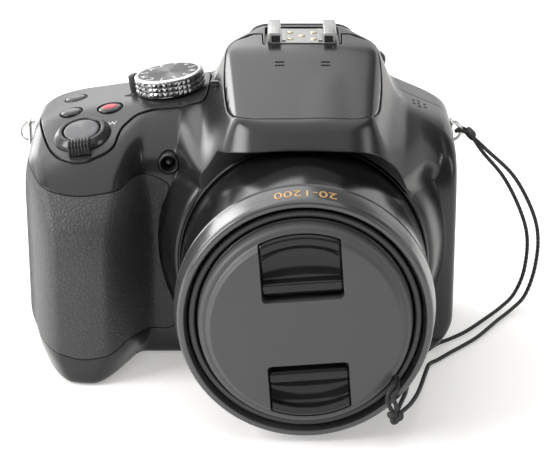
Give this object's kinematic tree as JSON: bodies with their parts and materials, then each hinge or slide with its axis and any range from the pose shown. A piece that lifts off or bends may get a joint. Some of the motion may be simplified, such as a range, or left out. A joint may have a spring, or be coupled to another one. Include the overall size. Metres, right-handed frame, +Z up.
{
  "type": "bridge camera",
  "caption": "Bridge camera with a large built-in zoom lens, pinch lens cap on a cord, pop-up flash, hot shoe, mode dial, rubber grip and rear screen.",
  "frame": {"origin": "centre of the tripod socket's mouth in the flat base", "axes": "+Z up, front and lens towards -Y, +X to the right seen from the front; the lens axis lies in the plane x = 0"},
  "size_m": [0.165, 0.1278, 0.0943],
  "materials": {
    "case": "satin moulded plastic with a fine texture",
    "cover": "satin moulded plastic",
    "grip": "leather-grained rubber",
    "soft_rubber": "plain rubber",
    "barrel": "satin moulded plastic",
    "inner_barrel": "satin moulded plastic",
    "cap": "fine matte plastic",
    "cord": "braided black cord",
    "flash": "satin moulded plastic",
    "clear": "clear moulded window",
    "lens_glass": "coated glass",
    "screen": "dark cover glass",
    "dial": "satin silver-grey, knurled",
    "button_metal": "spun satin metal",
    "button": "satin moulded plastic",
    "shoe": "plated sheet metal",
    "steel": "plain steel",
    "gold": "gold-plated contact",
    "frame_metal": "die-cast metal",
    "board": "printed circuit board",
    "cell": "battery shell",
    "lamp": "diffusing lamp window"
  },
  "bodies": {
    "camera": {"front_case": "case", "rear_case": "case", "top_cover": "cover", "grip_rubber": "grip", "thumb_rest": "soft_rubber", "chassis": "frame_metal", "case_screws": "steel", "tripod_bush": "steel", "strap_lugs": "steel", "lens_bezel": "inner_barrel", "outer_barrel": "barrel", "rear_lens_group": "lens_glass", "image_sensor": "board", "zoom_motor": "steel", "lens_cap_cord": "cord", "flash_hinge_pins": "steel", "flash_capacitor": "cell", "hot_shoe": "shoe", "shoe_contacts": "gold", "eyecup": "soft_rubber", "eyepiece_lens": "lens_glass", "finder_panel": "board", "screen_glass": "screen", "screen_panel": "board", "battery": "cell", "memory_card": "board", "battery_box": "cell", "battery_door_pin": "steel", "main_board": "board", "af_lamp": "lamp"},
    "front_barrel": {"front_barrel": "inner_barrel", "front_element": "lens_glass"},
    "mid_barrel": {"mid_barrel": "inner_barrel", "middle_lens_group": "lens_glass"},
    "flash_head": {"flash_head": "flash", "flash_window": "clear", "flash_tube": "clear"},
    "lens_cap": {"lens_cap": "cap"},
    "cap_tab_top": {"cap_tab_top": "cap"},
    "cap_tab_bottom": {"cap_tab_bottom": "cap"},
    "flash_release": {"flash_release": "button"},
    "mode_dial": {"mode_dial": "dial"},
    "power_lever": {"power_lever": "button"},
    "shutter_button": {"shutter_button": "button_metal"},
    "zoom_lever": {"zoom_lever": "cover"},
    "record_button": {"record_button": "button"},
    "fn_button_front": {"fn_button_front": "button"},
    "fn_button_rear": {"fn_button_rear": "button"},
    "rear_dial": {"rear_dial": "button"},
    "lock_button": {"lock_button": "button"},
    "finder_button": {"finder_button": "button"},
    "playback_button": {"playback_button": "button"},
    "display_button": {"display_button": "button"},
    "quick_menu_button": {"quick_menu_button": "button"},
    "cursor_pad": {"cursor_pad": "button"},
    "centre_button": {"centre_button": "button"},
    "diopter_wheel": {"diopter_wheel": "button"},
    "battery_door": {"battery_door": "case"},
    "battery_door_latch": {"battery_door_latch": "button"},
    "terminal_door": {"terminal_door": "case"}
  },
  "joints": [
    {"name": "zoom_extend", "type": "slide", "parent": "camera", "child": "front_barrel", "axis": [0, -1, 0], "range_m": [0, 0.06], "deforming": ["lens_cap_cord"]},
    {"name": "mid_extend", "type": "slide", "parent": "camera", "child": "mid_barrel", "axis": [0, -1, 0], "range_m": [0, 0.03]},
    {"name": "cap_pull_off", "type": "slide", "parent": "front_barrel", "child": "lens_cap", "axis": [0, -1, 0], "range_m": [0, 0.03], "deforming": ["lens_cap_cord"]},
    {"name": "cap_tab_top_pinch", "type": "slide", "parent": "lens_cap", "child": "cap_tab_top", "axis": [0, 0, -1], "range_m": [0, 0.0016], "stiffness_N_per_m": 250},
    {"name": "cap_tab_bottom_pinch", "type": "slide", "parent": "lens_cap", "child": "cap_tab_bottom", "axis": [0, 0, 1], "range_m": [0, 0.0016], "stiffness_N_per_m": 250},
    {"name": "flash_pop_up", "type": "hinge", "parent": "camera", "child": "flash_head", "pos_m": [0, 0.0175, 0.0885], "axis": [-1, 0, 0], "range_deg": [0, 25]},
    {"name": "flash_release_press", "type": "slide", "parent": "camera", "child": "flash_release", "axis": [1, 0, 0], "range_m": [0, 0.0009], "stiffness_N_per_m": 250},
    {"name": "mode_dial_turn", "type": "hinge", "parent": "camera", "child": "mode_dial", "pos_m": [-0.0402, 0.0085, 0.075], "axis": [-0.1392, 0, 0.9903], "continuous": true},
    {"name": "power_lever_switch", "type": "hinge", "parent": "camera", "child": "power_lever", "pos_m": [-0.0402, 0.0085, 0.075], "axis": [-0.1392, 0, 0.9903], "range_deg": [0, 28]},
    {"name": "shutter_press", "type": "slide", "parent": "camera", "child": "shutter_button", "axis": [0.1345, 0.2565, -0.9571], "range_m": [0, 0.0012], "stiffness_N_per_m": 250},
    {"name": "zoom_lever_turn", "type": "hinge", "parent": "camera", "child": "zoom_lever", "pos_m": [-0.0655, -0.0146, 0.06753], "axis": [-0.1345, -0.2565, 0.9571], "range_deg": [-20, 20], "stiffness_Nm_per_rad": 0.03},
    {"name": "record_press", "type": "slide", "parent": "camera", "child": "record_button", "axis": [0.1392, 0, -0.9903], "range_m": [0, 0.0009], "stiffness_N_per_m": 250},
    {"name": "fn_front_press", "type": "slide", "parent": "camera", "child": "fn_button_front", "axis": [0.1392, 0, -0.9903], "range_m": [0, 0.0009], "stiffness_N_per_m": 250},
    {"name": "fn_rear_press", "type": "slide", "parent": "camera", "child": "fn_button_rear", "axis": [0.1392, 0, -0.9903], "range_m": [0, 0.0009], "stiffness_N_per_m": 250},
    {"name": "rear_dial_turn", "type": "hinge", "parent": "camera", "child": "rear_dial", "pos_m": [-0.062, 0.0215, 0.057], "axis": [0, 0, 1], "continuous": true},
    {"name": "lock_press", "type": "slide", "parent": "camera", "child": "lock_button", "axis": [0, -1, 0], "range_m": [0, 0.0009], "stiffness_N_per_m": 250},
    {"name": "finder_press", "type": "slide", "parent": "camera", "child": "finder_button", "axis": [0, -1, 0], "range_m": [0, 0.0009], "stiffness_N_per_m": 250},
    {"name": "playback_press", "type": "slide", "parent": "camera", "child": "playback_button", "axis": [0, -1, 0], "range_m": [0, 0.0009], "stiffness_N_per_m": 250},
    {"name": "display_press", "type": "slide", "parent": "camera", "child": "display_button", "axis": [0, -1, 0], "range_m": [0, 0.0009], "stiffness_N_per_m": 250},
    {"name": "quick_menu_press", "type": "slide", "parent": "camera", "child": "quick_menu_button", "axis": [0, -1, 0], "range_m": [0, 0.0009], "stiffness_N_per_m": 250},
    {"name": "cursor_press", "type": "slide", "parent": "camera", "child": "cursor_pad", "axis": [0, -1, 0], "range_m": [0, 0.0009], "stiffness_N_per_m": 250},
    {"name": "centre_press", "type": "slide", "parent": "camera", "child": "centre_button", "axis": [0, -1, 0], "range_m": [0, 0.0009], "stiffness_N_per_m": 250},
    {"name": "diopter_turn", "type": "hinge", "parent": "camera", "child": "diopter_wheel", "pos_m": [0.0235, 0.0206, 0.081], "axis": [0, 1, 0], "continuous": true},
    {"name": "battery_door_open", "type": "hinge", "parent": "camera", "child": "battery_door", "pos_m": [0, 0.001, 0.0022], "axis": [1, 0, 0], "range_deg": [0, 95]},
    {"name": "battery_latch_slide", "type": "slide", "parent": "battery_door", "child": "battery_door_latch", "axis": [0, 1, 0], "range_m": [0, 0.0024]},
    {"name": "terminal_door_open", "type": "hinge", "parent": "camera", "child": "terminal_door", "pos_m": [0.0443, 0.009, 0], "axis": [0, 0, -1], "range_deg": [0, 100]}
  ],
  "couplings": [
    {"joint": "mid_extend", "follows": "zoom_extend", "ratio": 0.5}
  ]
}
